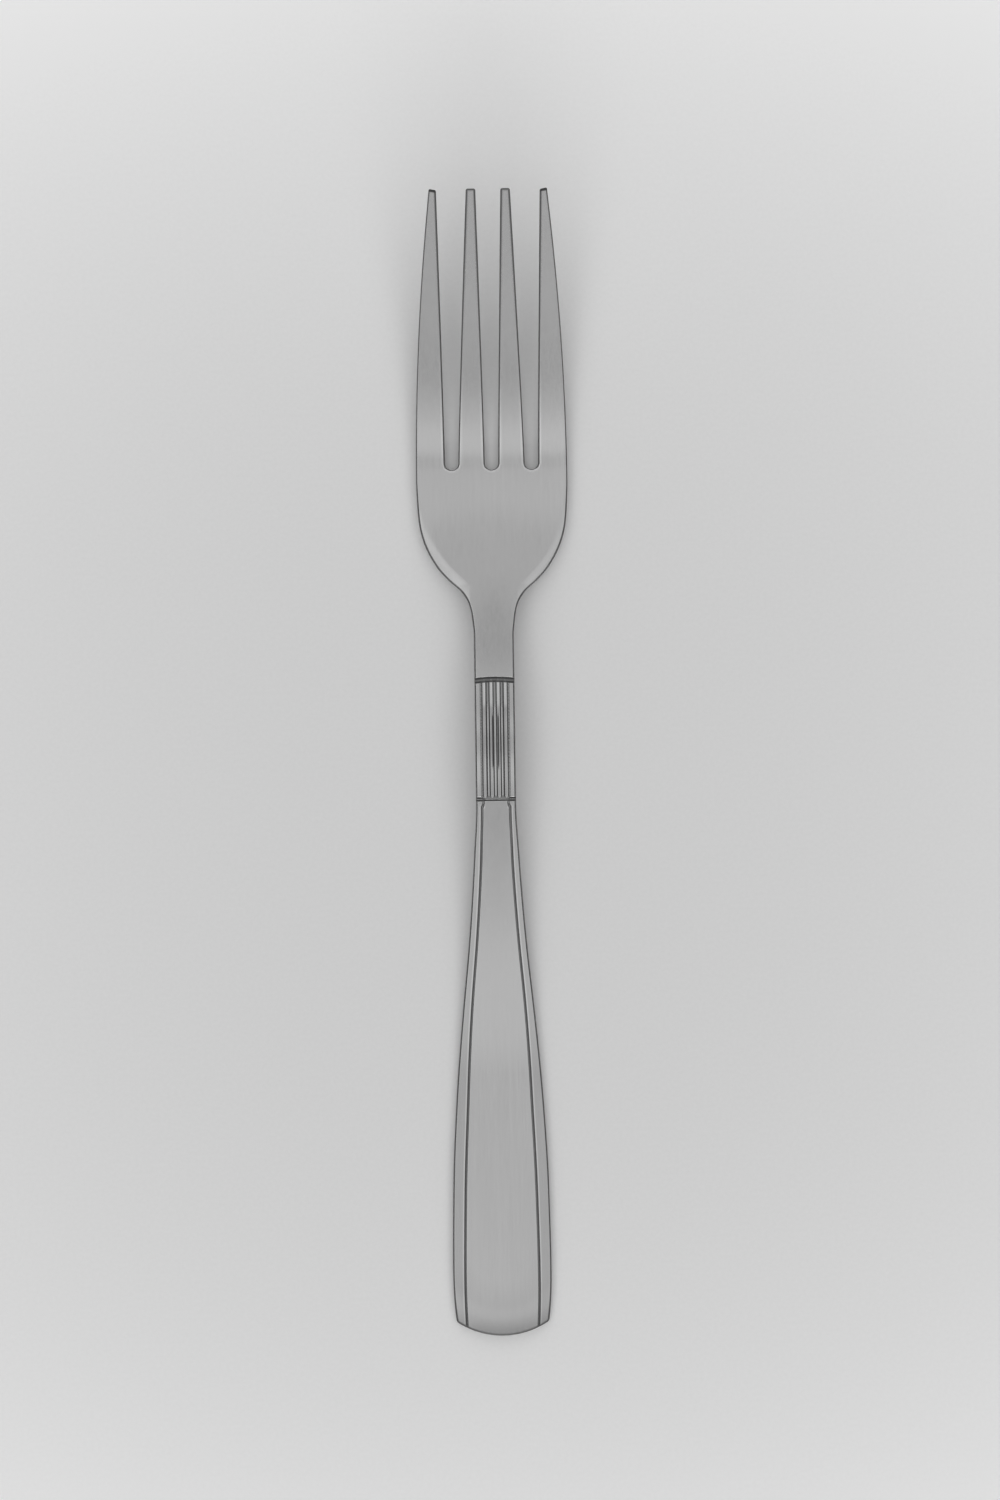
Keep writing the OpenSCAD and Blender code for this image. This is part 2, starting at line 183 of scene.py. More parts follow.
FOOT_LINE = HANDLE_LENGTH + 1.5 * LINE_WIDTH
FLUTE_FOOT = FOOT_LINE + LINE_WIDTH
LOW_LINE = BAND_TOP - 2 * LINE_WIDTH - LINE_PITCH - LINE_BOW
HIGH_LINE = LOW_LINE + LINE_PITCH


def mix(a, b, u):
    return a + (b - a) * u


def ease(u):
    u = np.clip(u, 0, 1)
    return u * u * (3 - 2 * u)


def wave(u):
    return (1 - np.cos(np.pi * u)) / 2


def curve(stations, u):
    """Smooth curve through stations, level at both ends."""
    xs, ys = np.array(stations, float).T
    slopes = np.zeros(len(xs))
    slopes[1:-1] = (ys[2:] - ys[:-2]) / (xs[2:] - xs[:-2])
    u = np.clip(u, 0, 1)
    i = np.clip(np.searchsorted(xs, u, side="right") - 1, 0, len(xs) - 2)
    run = xs[i + 1] - xs[i]
    f = (u - xs[i]) / run
    return mix(ys[i], ys[i + 1], ease(f)) + run * f * (1 - f) * (slopes[i] * (1 - f) - slopes[i + 1] * f)


def handle_share(s):
    return curve(HANDLE_TAPER_SHARES, (s - WIDEST_AT) / (HANDLE_LENGTH - WIDEST_AT))


def drawn_in(s):
    """Share of the end's drawing in."""
    return np.clip(1 - s / WIDEST_AT, 0, 1) ** DRAFT_POWER


def side(s):
    """Half the width of the fork, without the corners of the handle's end."""
    shoulder = curve(SHOULDER_SHARES, (s - SHOULDER_AT) / SHOULDER_LENGTH)
    head = np.clip((s - HEAD_WIDEST_AT) / (FORK_LENGTH - HEAD_WIDEST_AT), 0, 1) ** HEAD_TAPER_POWER
    return np.select(
        [s < WIDEST_AT, s < HANDLE_LENGTH, s < SHOULDER_AT, s < HEAD_WIDEST_AT],
        [HANDLE_WIDTH / 2 - END_DRAFT * drawn_in(s),
         mix(NECK_WIDTH, HANDLE_WIDTH, handle_share(s)) / 2,
         NECK_WIDTH / 2 + 0 * s,
         mix(NECK_WIDTH, HEAD_WIDTH, shoulder) / 2],
        mix(HEAD_WIDTH, TIPS_WIDTH, head) / 2)


# Corner of the handle's end: its centre, and where it touches the rounded end
END_SAG = END_RADIUS - math.sqrt(END_RADIUS ** 2 - (HANDLE_WIDTH / 2) ** 2)
CORNER_X = float(side(np.float64(END_SAG))) - CORNER_RADIUS
CORNER_AT = END_RADIUS - math.sqrt((END_RADIUS - CORNER_RADIUS) ** 2 - CORNER_X ** 2)
CORNER_START = END_RADIUS - (END_RADIUS - CORNER_AT) * END_RADIUS / (END_RADIUS - CORNER_RADIUS)
CORNER_START_X = CORNER_X * END_RADIUS / (END_RADIUS - CORNER_RADIUS)


def half_width(s):
    corner = CORNER_X + np.sqrt(np.maximum(CORNER_RADIUS ** 2 - (CORNER_AT - s) ** 2, 0))
    return np.where(s < CORNER_AT, corner, side(s))


def side_lean(s):
    """How much the outline turns outwards for each step along the fork."""
    return (side(s + LEAN_STEP) - side(s - LEAN_STEP)) / (2 * LEAN_STEP)


def handle_rise(u):
    """Share of the arch's height by the share of the way from the flat: an even bend, then the arch's."""
    start = np.clip(u / RISE_BEND_SHARE, 0, 1)
    stop = np.clip((1 - u) / ARCH_BEND_SHARE, 0, 1)
    sloped = np.clip(u - RISE_BEND_SHARE, 0, 1 - RISE_BEND_SHARE - ARCH_BEND_SHARE)
    bent = RISE_BEND_SHARE * start ** 2 / 2 + ARCH_BEND_SHARE * (1 / 2 - stop ** 3 + stop ** 4 / 2)
    return (bent + sloped) / (1 - (RISE_BEND_SHARE + ARCH_BEND_SHARE) / 2)


def curl(run):
    """Height after a run from the slots, for a slope that grows quickly and then ever more slowly."""
    return run - CURL_LENGTH * (1 - np.exp(-run / CURL_LENGTH))


def back_line(s):
    """Height of the middle of the fork's back."""
    into_bowl = np.clip((SLOTS_AT - s) / (SLOTS_AT - ARCH_AT), 0, 1) ** BOWL_POWER
    rise = np.select(
        [s < ARCH_AT, s < SLOTS_AT],
        [ARCH_HEIGHT * handle_rise((s - FLAT_LENGTH) / (ARCH_AT - FLAT_LENGTH)),
         ARCH_HEIGHT * wave(into_bowl)],
        TIP_RISE * curl(np.maximum(s - SLOTS_AT, 0)) / curl(SLOT_DEPTH))
    return rise - FLAT_DEPTH


def thickness(s):
    return np.select(
        [s < ARCH_AT, s < BAND_TOP, s < ROOT_AT],
        [mix(END_THICK, NECK_THICK, ease((s - FLAT_LENGTH) / (ARCH_AT - FLAT_LENGTH))),
         NECK_THICK + 0 * s,
         mix(NECK_THICK, ROOT_THICK, ease((s - BAND_TOP) / (ROOT_AT - BAND_TOP)))],
        mix(ROOT_THICK, TIP_THICK, (s - ROOT_AT) / (FORK_LENGTH - ROOT_AT)))


def crown(s):
    return np.where(
        s < HANDLE_LENGTH,
        mix(HANDLE_CROWN, NECK_CROWN, ease(s / HANDLE_LENGTH)),
        NECK_CROWN * (1 - ease((s - SHOULDER_AT) / SHOULDER_LENGTH)))


def dish(s):
    return np.where(
        s < ROOT_AT,
        HEAD_DISH * ease((s - SHOULDER_AT) / SHOULDER_LENGTH),
        mix(HEAD_DISH, TIPS_DISH, (s - ROOT_AT) / (FORK_LENGTH - ROOT_AT)))


def slot_edges(s):
    """The middle slot's half width, then the outer slot's inner and outer edges."""
    u = np.clip((s - ROOT_AT) / (FORK_LENGTH - ROOT_AT), 0, 1) ** SLOT_TAPER_POWER
    return (mix(SLOT_WIDTH, MIDDLE_GAP, u) / 2,
            mix(SLOT_PITCH - ROOT_RADIUS, MIDDLE_GAP / 2 + INNER_TIP_WIDTH, u),
            mix(SLOT_PITCH + ROOT_RADIUS, TIPS_WIDTH / 2 - OUTER_TIP_WIDTH, u))


def side_gap(x, row):
    return (half_width(row) - abs(x)) / np.sqrt(1 + side_lean(row) ** 2)


def end_gap(x, s):
    return np.where(s < END_RADIUS, END_RADIUS - np.hypot(x, END_RADIUS - s), END_RADIUS)


def slot_gap(x, s, row):
    a = abs(x)
    middle, inner, outer = slot_edges(row)
    beside = np.where(a < (inner + outer) / 2, np.minimum(a - middle, inner - a), a - outer)
    roots = np.minimum(np.hypot(a, s - ROOT_AT), np.hypot(a - SLOT_PITCH, s - ROOT_AT)) - ROOT_RADIUS
    return np.where(row > ROOT_AT, beside, roots)


def edge_gap(x, s, row):
    """Distance from the nearest edge. The row's own place is given too, for the width."""
    gaps = [side_gap(x, row), end_gap(x, s), slot_gap(x, s, row), FORK_LENGTH - row]
    return np.maximum(np.minimum.reduce(gaps), 0)


def rounded(gap, radius):
    """Drop of a rounded edge at a distance from it."""
    return radius - np.sqrt(np.maximum(radius ** 2 - np.maximum(radius - gap, 0) ** 2, 0))


def rail_width(row):
    taper = mix(BAND_RAIL_WIDTH, END_RAIL_WIDTH, handle_share(row) ** RAIL_POWER)
    return np.where(row < HANDLE_LENGTH, taper - RAIL_PINCH * drawn_in(row), BAND_RAIL_WIDTH)


def groove_at(row):
    """Distance of the groove's outer side from the middle of the fork."""
    shift = curve(GROOVE_SHIFTS, row / HANDLE_LENGTH) * (row < HANDLE_LENGTH)
    return side(row) - rail_width(row) + shift


def groove(x, row):
    """Groove between a rail and the panel: a steep wall under the rail, and a rolled side."""
    off = abs(x) - groove_at(row)
    wall = 1 - np.clip(off / GROOVE_WALL, 0, 1)
    roll = (1 - ease(-off / PANEL_ROLL)) ** 2
    return -GROOVE_DEPTH * np.where(off > 0, wall, roll)


def flute(x, row):
    """Round flutes side by side, with rounded feet."""
    first = -FLUTE_PITCH * (FLUTE_COUNT - 1) / 2
    middle = first + FLUTE_PITCH * np.clip(np.round((x - first) / FLUTE_PITCH), 0, FLUTE_COUNT - 1)
    past = np.maximum.reduce([FLUTE_FOOT + FLUTE_WIDTH / 2 - row, row - LOW_LINE, 0 * row])
    reach = np.hypot(x - middle, past) / (FLUTE_WIDTH / 2)
    return -FLUTE_DEPTH * np.sqrt(np.maximum(1 - reach ** 2, 0))


def seam(x, row):
    """Fine line between the flutes and the rails of the band."""
    off = abs(abs(x) - BAND_GROOVE - SEAM_WIDTH / 2) / (SEAM_WIDTH / 2)
    return -SEAM_DEPTH * np.maximum(1 - off ** 2, 0) * ((row > FLUTE_FOOT) & (row < LOW_LINE))


def line(row, at, width=LINE_WIDTH):
    return -LINE_DEPTH * np.maximum(1 - (abs(row - at) / (width / 2)) ** 2, 0)


def foot_lines(x, row):
    """The line below the flutes. On the rails it is wider and has a second line above it."""
    on_rails = np.minimum(line(row, FOOT_LINE), line(row, FLUTE_FOOT))
    return np.where(abs(x) > BAND_GROOVE, on_rails, line(row, FOOT_LINE, FOOT_LINE_WIDTH))


def relief(x, row):
    """Height of the grooves, the flutes and the cross lines, which all lie below the surface."""
    band = np.minimum.reduce([
        line(row, HIGH_LINE),
        line(row, LOW_LINE),
        foot_lines(x, row),
        np.where(abs(x) > BAND_GROOVE, 0, flute(x, row)),
        seam(x, row),
        np.where(row < FLUTE_FOOT, groove(x, row), 0)])
    return np.select([row >= BAND_TOP, row > HANDLE_LENGTH], [0 * row, band], groove(x, row))


def rolled_rim(x, s, row):
    """Depth of the bevel rolled inside the shoulders' edges. It is wider on the left."""
    share = curve(RIM_SHARES, (s - RIM_START) / RIM_LENGTH)
    share = share * (1 - ease((s - RIM_START - RIM_LENGTH) / RIM_FADE))
    inside = np.maximum(np.where(x < 0, *RIM_WIDTHS) * share - side_gap(x, row), 0)
    return RIM_SLOPE * inside ** 2 / (inside + RIM_CREASE) + RIM_BEND * inside ** 2


def heights(x, s, row):
    """Heights of the face and of the back of the fork."""
    across = (x / half_width(row)) ** 2
    roll = rounded(edge_gap(x, s, row), EDGE_RADIUS)
    middle = back_line(s)
    rim = rolled_rim(x, s, row)
    end = END_ROLL_DROP * (1 - np.clip(end_gap(x, s) / END_ROLL_LENGTH, 0, 1)) ** 2
    face = middle + thickness(s) + (dish(s) - crown(s)) * across + relief(x, row) - rim - end - roll
    back = middle + (dish(s) + crown(s)) * across + roll
    return face, np.maximum(back, 0)


# Columns from the middle of the fork to its edge, as many in every row: how many between each two
# features in the handle and, from the middle slot to the outer tine's rounded edge, in the head
EDGE_COLUMNS = 10
PANEL_COLUMNS = (24, 18)
RAIL_COLUMNS = (8, 20)
FLUTE_COLUMNS = 18
RIDGE_COLUMNS = 3
HEAD_COLUMNS = (10, 6, 10, 6, 18, 6, 14)

# Steps between the rows, and how many rows turn over the slots' roots and the tips
CORNER_STEP = 0.08
END_STEP = 0.2
HANDLE_STEP = 0.5
LINE_STEP = 0.05
FLUTE_STEP = 0.15
BAND_END_STEP = 0.1
BOWL_STEP = 0.35
TINE_STEP = 0.5
ROOT_ROWS = 8
TIP_ROWS = 12

# Lengths over which bowed rows straighten out
BOW_LENGTH = 9.0
ROOT_FADE = 8.0
BOW_FADE = 0.8
TIP_FADE = 3.0

# Painted shade: how much of it a point has runs from 0, bright steel, to 1, dark rough paint that is no
# metal, and each piece's material keeps it there. Past these ends it only moves the edge of a shaded
# place.

# Painted shade in a dark rough strip along the outline: how wide it is in full and with its fade,
# how strong, how wide as a share by the share of the fork's length, and how it widens in the slots
OUTLINE_SHADE_FULL = 0.13
OUTLINE_SHADE_EDGE = 0.28
OUTLINE_SHADE = 0.85
OUTLINE_SHADE_SHARES = [
    (0, 1.9), (0.02, 1.5), (0.04, 1), (0.2, 0.8), (0.38, 0.5), (0.6, 0.45), (0.68, 0.7), (0.8, 0.65),
    (0.9, 0.9), (1, 1.1),
]
SLOT_SHADE_GROWTH = 0.65
SLOT_SHADE_REACH = 16.0

# Painted shade on the back and at the foot of the walls, on the outline and in the slots. Below zero it
# keeps the steel bright
WALL_SHADE = -2.0
SLOT_WALL_SHADE = 0.85

# Painted shade on the tips' ends: its length, the length of its fade, and how strong it is
CAP_LENGTH = 0.4
CAP_FADE = 0.2
INNER_CAP_SHADE = 0.45
OUTER_CAP_SHADE = 1.3

# Painted shade in the recesses: the share of a line's depth where it is full, the share of the
# groove's depth that stays free of it, and how strong it is in the cross lines, between the two upper
# ones and in the grooves
SHADE_FULL_SHARE = 0.6
SHADE_FREE_SHARE = 0.42
LINES_SHADE = 0.92
BETWEEN_SHADE = 0.72
GROOVES_SHADE = 0.92

# Painted dark reflections, streaks in the two middle flutes: how far right of each flute's middle, and
# how wide they are
STREAK_OFFS = (0.26, -0.06)
STREAK_WIDTHS = (0.15, 0.1)
STREAK_FROM = 101.5
STREAK_TO = 112.5
STREAK_FADE = 3.0
STREAK_GAIN = 1.5
STREAK_DARKNESS = 1.9

# Painted shade in the seams, broken up by slanting lines that swell and fade along the fork
SEAM_SHADE = 0.55
SEAM_GAIN = 1.5
HATCH_LEVEL = 0.6
HATCH_SWING = 0.4
HATCH_STEP = 0.62
HATCH_LEAN = 0.6
HATCH_SWELL = 1.0

# Upper end of the band, where the ridges between the flutes get painted shade and the flutes a painted
# highlight. Below it the flutes get painted shade
UPPER_FROM = 112.6
UPPER_FADE = 1.4
RIDGE_SHADE = 0.35
RIDGE_GAIN = 2.0
FLUTE_LIGHT = 0.2
FLUTE_SHADE = 0.15

# Painted shade in the corners beside the flutes' rounded feet, and how deep into a flute it reaches, as a
# share
FOOT_SHADE = 0.6
FOOT_EDGE_SHARE = 0.7

# Painted shade: round the arch's top, and towards the handle's end
ARCH_SHADE = 0.096
ARCH_SHADE_REACH = 20.0
END_SHADE = 0.18
END_SHADE_REACH = 9.5

# Painted shade on the rails: along the handle up to a place, and once more at its end
RAIL_SHADE = 0.14
RAIL_SHADE_TO = 66.0
RAIL_SHADE_FADE = 20.0
RAIL_END_SHADE = 0.16
RAIL_END_REACH = 14.0

# Painted highlights: on the rails beside the grooves, and round the roots of the slots
LIP_HIGHLIGHT = 0.32
LIP_OFF = 0.27
LIP_WIDTH = 0.12
ROOT_LIP_HIGHLIGHT = 0.22
ROOT_LIP_OFF = 0.3
ROOT_LIP_REACH = 14.0


def divided(ends, counts):
    """Even steps in each stretch between two ends, which are arrays with a value for each row."""
    return [mix(a, b, i / n) for a, b, n in zip(ends, ends[1:], counts) for i in range(n)]


def towards_edge(edge, radius, count):
    """Steps that come close together where a rounded edge is steep."""
    return [edge - radius * (1 - math.sin(math.pi / 2 * i / count)) for i in range(count)]


def from_edge(edge, radius, count):
    return [edge + radius * (1 - math.cos(math.pi / 2 * i / count)) for i in range(count)]


def rail_columns(row):
    wall = groove_at(row)
    last = half_width(row)
    rail = divided([wall, wall + GROOVE_WALL, last - EDGE_RADIUS], RAIL_COLUMNS)
    return rail + towards_edge(last, EDGE_RADIUS, EDGE_COLUMNS) + [last]


def handle_columns(row):
    wall = groove_at(row)
    return np.array(divided([0 * row, wall - PANEL_ROLL, wall], PANEL_COLUMNS) + rail_columns(row)).T


def band_columns(row):
    places = list(np.linspace(0, RIDGE_WIDTH / 2, RIDGE_COLUMNS, endpoint=False))
    for i in range(FLUTE_COUNT // 2):
        start = RIDGE_WIDTH / 2 + i * FLUTE_PITCH
        places += [start + FLUTE_WIDTH * wave(j / FLUTE_COLUMNS) for j in range(FLUTE_COLUMNS)]
        if i < FLUTE_COUNT // 2 - 1:
            stop = start + FLUTE_PITCH
            places += list(np.linspace(start + FLUTE_WIDTH, stop, RIDGE_COLUMNS, endpoint=False))
    return np.array([place + 0 * row for place in places] + rail_columns(row)).T


def tine_columns(row):
    """Columns through the slots and the tines. Below the roots they fan in with the head's width."""
    place = np.maximum(row, ROOT_AT)
    radius = EDGE_RADIUS
    ahead = FORK_LENGTH - place
    inner_nip = rounded(ahead, TIP_CORNER_SHARE * INNER_TIP_WIDTH / 2)
    outer_nip = rounded(ahead, TIP_CORNER_SHARE * OUTER_TIP_WIDTH / 2)
    middle, inner, outer = slot_edges(place)
    middle, inner = middle + inner_nip, inner - inner_nip
    outer, last = outer + outer_nip, side(place) - outer_nip
    n = HEAD_COLUMNS
    columns = [middle * math.sin(math.pi / 2 * i / n[0]) for i in range(n[0])]
    columns += from_edge(middle, radius, n[1])
    columns += divided([middle + radius, inner - radius], n[2:3])
    columns += towards_edge(inner, radius, n[3])
    columns += [mix(inner, outer, wave(i / n[4])) for i in range(n[4])]
    columns += from_edge(outer, radius, n[5])
    columns += divided([outer + radius, last - radius], n[6:7])
    columns += towards_edge(last, radius, EDGE_COLUMNS) + [last]
    columns = np.array(columns).T
    flat = (last - radius)[:, None]
    growth = (half_width(row) - last)[:, None]
    fanned = np.where(columns <= flat, columns * (flat + growth) / flat, columns + growth)
    return np.where(row[:, None] < ROOT_AT, fanned, columns)


def even(start, stop, size):
    """Even places from start up to but not including stop, about a size apart."""
    return list(np.linspace(start, stop, round((stop - start) / size), endpoint=False))


def all_rows():
    """Places of the rows, closer together where the surface turns quickly."""
    flutes_start = FLUTE_FOOT + FLUTE_WIDTH / 2
    lines_start, lines_end = LOW_LINE - LINE_WIDTH, HIGH_LINE + LINE_WIDTH / 2
    roots_start = ROOT_AT - EDGE_RADIUS
    tips_start = FORK_LENGTH - TIP_THICK / 2
    return np.array(
        even(CORNER_START, CORNER_AT, CORNER_STEP)
        + even(CORNER_AT, END_ROLL_LENGTH, END_STEP)
        + even(END_ROLL_LENGTH, HANDLE_LENGTH, HANDLE_STEP)
        + even(HANDLE_LENGTH, flutes_start, LINE_STEP)
        + even(flutes_start, lines_start, FLUTE_STEP)
        + even(lines_start, lines_end, LINE_STEP)
        + even(lines_end, BAND_TOP, BAND_END_STEP)
        + even(BAND_TOP, HEAD_AT, BOWL_STEP)
        + even(HEAD_AT, roots_start, BOWL_STEP)
        + towards_edge(ROOT_AT, ROOT_AT - roots_start, ROOT_ROWS)
        + even(ROOT_AT, tips_start, TINE_STEP)
        + towards_edge(FORK_LENGTH, FORK_LENGTH - tips_start, TIP_ROWS)
        + [FORK_LENGTH])


def end_bow(x, row):
    """How far the rows at the handle's end are set forward to follow its round."""
    arc = END_RADIUS - np.sqrt(END_RADIUS ** 2 - np.minimum(abs(x), CORNER_START_X) ** 2)
    bow = (arc - CORNER_START) * (1 - ease((row - CORNER_START) / BOW_LENGTH))
    return np.where(row < HANDLE_LENGTH, bow, 0)


def line_bow(x, row):
    """How far the rows are set forward to follow the bowed upper lines."""
    rise = ease((row - ARCH_AT) / (LOW_LINE - ARCH_AT))
    rise = rise * (1 - ease((row - HIGH_LINE - LINE_WIDTH / 2) / BOW_FADE))
    return LINE_BOW * (1 - (x / half_width(row)) ** 2) * rise


def root_bow(x, row, x_at_root):
    """How far the rows below the slots' roots are set back to follow their rounds."""
    beside = np.minimum(abs(x_at_root), abs(abs(x_at_root) - SLOT_PITCH))
    depth = np.sqrt(np.maximum(ROOT_RADIUS ** 2 - beside ** 2, 0))
    return depth * np.clip(1 - (ROOT_AT - row) / ROOT_FADE, 0, 1) * (row <= ROOT_AT)


def tip_slant(x, row):
    """How far the rows near the outer tips are set back, more so away from the outline."""
    outer = abs(x) > (MIDDLE_GAP / 2 + INNER_TIP_WIDTH + TIPS_WIDTH / 2 - OUTER_TIP_WIDTH) / 2
    inside = np.minimum(side(row) - abs(x), OUTER_TIP_WIDTH) / OUTER_TIP_WIDTH
    return TIP_SLANT * inside * outer * ease((row - FORK_LENGTH + TIP_FADE) / TIP_FADE)


def plan():
    """The plan place of every point: across, along, and the row that it belongs to."""
    rows = all_rows()
    to_band = ease((rows - (HANDLE_LENGTH - BOW_LENGTH)) / BOW_LENGTH)[:, None]
    to_head = ease((rows - BAND_TOP) / (HEAD_AT - BAND_TOP))[:, None]
    handle = handle_columns(np.minimum(rows, BAND_TOP))
    band = band_columns(np.minimum(rows, HEAD_AT))
    tines = tine_columns(np.maximum(rows, BAND_TOP))
    half = mix(mix(handle, band, to_band), tines, to_head)
    x = np.hstack([-half[:, :0:-1], half])
    row = np.repeat(rows[:, None], x.shape[1], axis=1)
    x_at_root = x[np.searchsorted(rows, ROOT_AT)]
    s = row + end_bow(x, row) + line_bow(x, row) - root_bow(x, row, x_at_root) - tip_slant(x, row)
    return x, s, row


def rim_edges(quads, points):
    """Directed edges of the quads that no neighbour shares, in the order of the quads."""
    edges = np.concatenate([quads[:, [i, (i + 1) % 4]] for i in range(4)])
    ahead = edges[:, 0] * points + edges[:, 1]
    behind = edges[:, 1] * points + edges[:, 0]
    return edges[~np.isin(ahead, behind)]


class Fork:
    """The whole fork's points, how much painted shade and painted light each of them has, and the quads
    of its face.
    """

    def __init__(self):
        self.x, self.s, self.row = plan()
        face, back = heights(self.x, self.s, self.row)
        y = self.s - FORK_LENGTH / 2
        points = np.concatenate([np.stack([self.x, y, z], -1).reshape(-1, 3) for z in (face, back)]) * MM
        self.points = np.clip(points, *CAD_BOUNDS)
        self.count = self.x.size
        self.places = self.row[:, 0]
        self.columns = self.x.shape[1]
        self.solid = self.steel_quads()
        self.outline = self.edge_keys(rim_edges(self.quads(self.solid), self.count))
        self.normals = self.smooth_normals()
        self.on_handle = self.row < HANDLE_LENGTH
        self.on_band = (self.row > HANDLE_LENGTH) & (self.row < BAND_TOP)
        self.upper = ease((self.s - UPPER_FROM) / UPPER_FADE)
        self.hollow = -flute(self.x, self.row) / FLUTE_DEPTH
        self.painted_shade = self.painted_shade_values()
        self.painted_light = self.painted_light_values()

    def steel_quads(self):
        """Which quads of the grid are steel: all but those that lie in a slot."""
        n = np.cumsum((0,) + HEAD_COLUMNS)
        half = np.arange(self.columns // 2)
        slot = (half < n[1]) | ((half >= n[4]) & (half < n[5]))
        solid = np.ones((len(self.places) - 1, self.columns - 1), bool)
        solid[self.places[:-1] >= ROOT_AT] = ~np.concatenate([slot[::-1], slot])
        return solid

    def painted_shade_values(self):
        """How much painted shade each point of the face and then of the back has."""
        gap = edge_gap(self.x, self.s, self.row)
        in_slot = slot_gap(self.x, self.s, self.row) < side_gap(self.x, self.row)
        face = np.maximum.reduce([
            self.outline_shade(gap, in_slot), self.tip_end_shade(), self.recess_shade(), self.dark_reflection_streaks(),
            self.seam_shade(), self.ridge_shade(), self.foot_shade()])
        # Painted shade on the walls in the slots; elsewhere the back stays bright steel
        back = np.where((gap <= 0) & in_slot, SLOT_WALL_SHADE, WALL_SHADE)
        return np.concatenate([face.ravel(), back.ravel()])

    # Painted shade along the outline, wider in the slots
    def outline_shade(self, gap, in_slot):
        width = curve(OUTLINE_SHADE_SHARES, self.s / FORK_LENGTH)
        width = width * (1 + SLOT_SHADE_GROWTH * in_slot * ease((self.s - ROOT_AT) / SLOT_SHADE_REACH))
        return OUTLINE_SHADE * (1 - ease((gap / width - OUTLINE_SHADE_FULL) / (OUTLINE_SHADE_EDGE - OUTLINE_SHADE_FULL)))

    # Painted shade on the tips' ends, stronger on the outer tines
    def tip_end_shade(self):
        cap = 1 - ease((FORK_LENGTH - self.row - CAP_LENGTH) / CAP_FADE)
        return cap * np.where(abs(self.x) > SLOT_PITCH, OUTER_CAP_SHADE, INNER_CAP_SHADE)

    def recess_shade(self):
        """Painted shade in the grooves and in the cross lines."""
        cross = [line(self.row, HIGH_LINE), line(self.row, LOW_LINE), foot_lines(self.x, self.row)]
        in_line = ease(-np.minimum.reduce(cross) / (LINE_DEPTH * SHADE_FULL_SHARE))
        between = (self.row > LOW_LINE) & (self.row < HIGH_LINE)
        lines = np.maximum(LINES_SHADE * in_line, BETWEEN_SHADE * between)
        depth = -groove(self.x, self.row) / GROOVE_DEPTH
        grooves = GROOVES_SHADE * ease((depth - SHADE_FREE_SHARE) / (1 - SHADE_FREE_SHARE))
        return np.where(self.on_band, lines, np.where(self.row <= HANDLE_LENGTH, grooves, 0))

    # Painted dark reflections as streaks in the two middle flutes
    def dark_reflection_streaks(self):
        from_start = np.clip((self.s - STREAK_FROM) / STREAK_FADE, 0, 1)
        from_stop = np.clip((STREAK_TO - self.s) / STREAK_FADE, 0, 1)
        left = (self.x + FLUTE_PITCH / 2 - STREAK_OFFS[0]) / STREAK_WIDTHS[0]
        right = (self.x - FLUTE_PITCH / 2 - STREAK_OFFS[1]) / STREAK_WIDTHS[1]
        across = np.exp(-np.minimum(left ** 2, right ** 2))
        return STREAK_DARKNESS * across * ease(STREAK_GAIN * from_start * from_stop)

    # Painted shade in the seams, broken up by slanting lines
    def seam_shade(self):
        lines = np.sin(2 * np.pi * (self.s + HATCH_LEAN * self.x) / HATCH_STEP)
        hatch = HATCH_LEVEL + HATCH_SWING * lines * np.sin(self.s / HATCH_SWELL)
        return SEAM_SHADE * hatch * ease(-SEAM_GAIN * seam(self.x, self.row) / SEAM_DEPTH)

    # Painted shade on the ridges between the flutes at the band's upper end
    def ridge_shade(self):
        on_ridges = (self.row < LOW_LINE) & (abs(self.x) < BAND_GROOVE)
        return RIDGE_SHADE * self.upper * on_ridges * (1 - ease(RIDGE_GAIN * self.hollow))

    # Painted shade in the corners beside the flutes' rounded feet
    def foot_shade(self):
        feet_end = FLUTE_FOOT + FLUTE_WIDTH / 2
        at_feet = (self.row > FOOT_LINE) & (self.row < feet_end) & (abs(self.x) < BAND_GROOVE)
        return FOOT_SHADE * at_feet * (1 - ease(self.hollow / FOOT_EDGE_SHARE))

    def painted_light_values(self):
        """Painted light: the share of its level that the steel loses to painted shade at each point.
        Below zero it gains a painted highlight.
        """
        # Painted shade round the arch's top and towards the handle's end
        arch = ARCH_SHADE * np.exp(-((self.s - ARCH_AT) / ARCH_SHADE_REACH) ** 2)
        end = END_SHADE * np.clip(1 - end_gap(self.x, self.s) / END_SHADE_REACH, 0, 1)
        off = abs(self.x) - groove_at(self.row)
        # Painted shade on the rails along the handle and at its end
        low = RAIL_SHADE * (1 - ease((self.s - RAIL_SHADE_TO) / RAIL_SHADE_FADE))
        lowest = RAIL_END_SHADE * ease(1 - self.s / RAIL_END_REACH)
        # Painted highlight on the rails beside the grooves
        lip = LIP_HIGHLIGHT * np.exp(-((off - LIP_OFF) / LIP_WIDTH) ** 2)
        rail = (ease(off / GROOVE_WALL) * (low + lowest) - lip) * self.on_handle
        handle = np.where(rail < 0, end + rail, np.maximum(end, rail))
        # Painted highlight in the flutes at the band's upper end, painted shade in them below it
        light = (FLUTE_LIGHT + FLUTE_SHADE) * self.upper - FLUTE_SHADE
        flutes = light * self.hollow ** 2 * self.on_band
        # Painted highlight round the roots of the slots
        near_roots = np.exp(-((self.s - ROOT_AT) / ROOT_LIP_REACH) ** 2) * (self.s > SHOULDER_AT)
        beside = (slot_gap(self.x, self.s, self.row) - ROOT_LIP_OFF) / LIP_WIDTH
        root_lip = ROOT_LIP_HIGHLIGHT * np.exp(-beside ** 2) * near_roots
        return np.tile((arch + handle - flutes - root_lip).ravel(), 2)

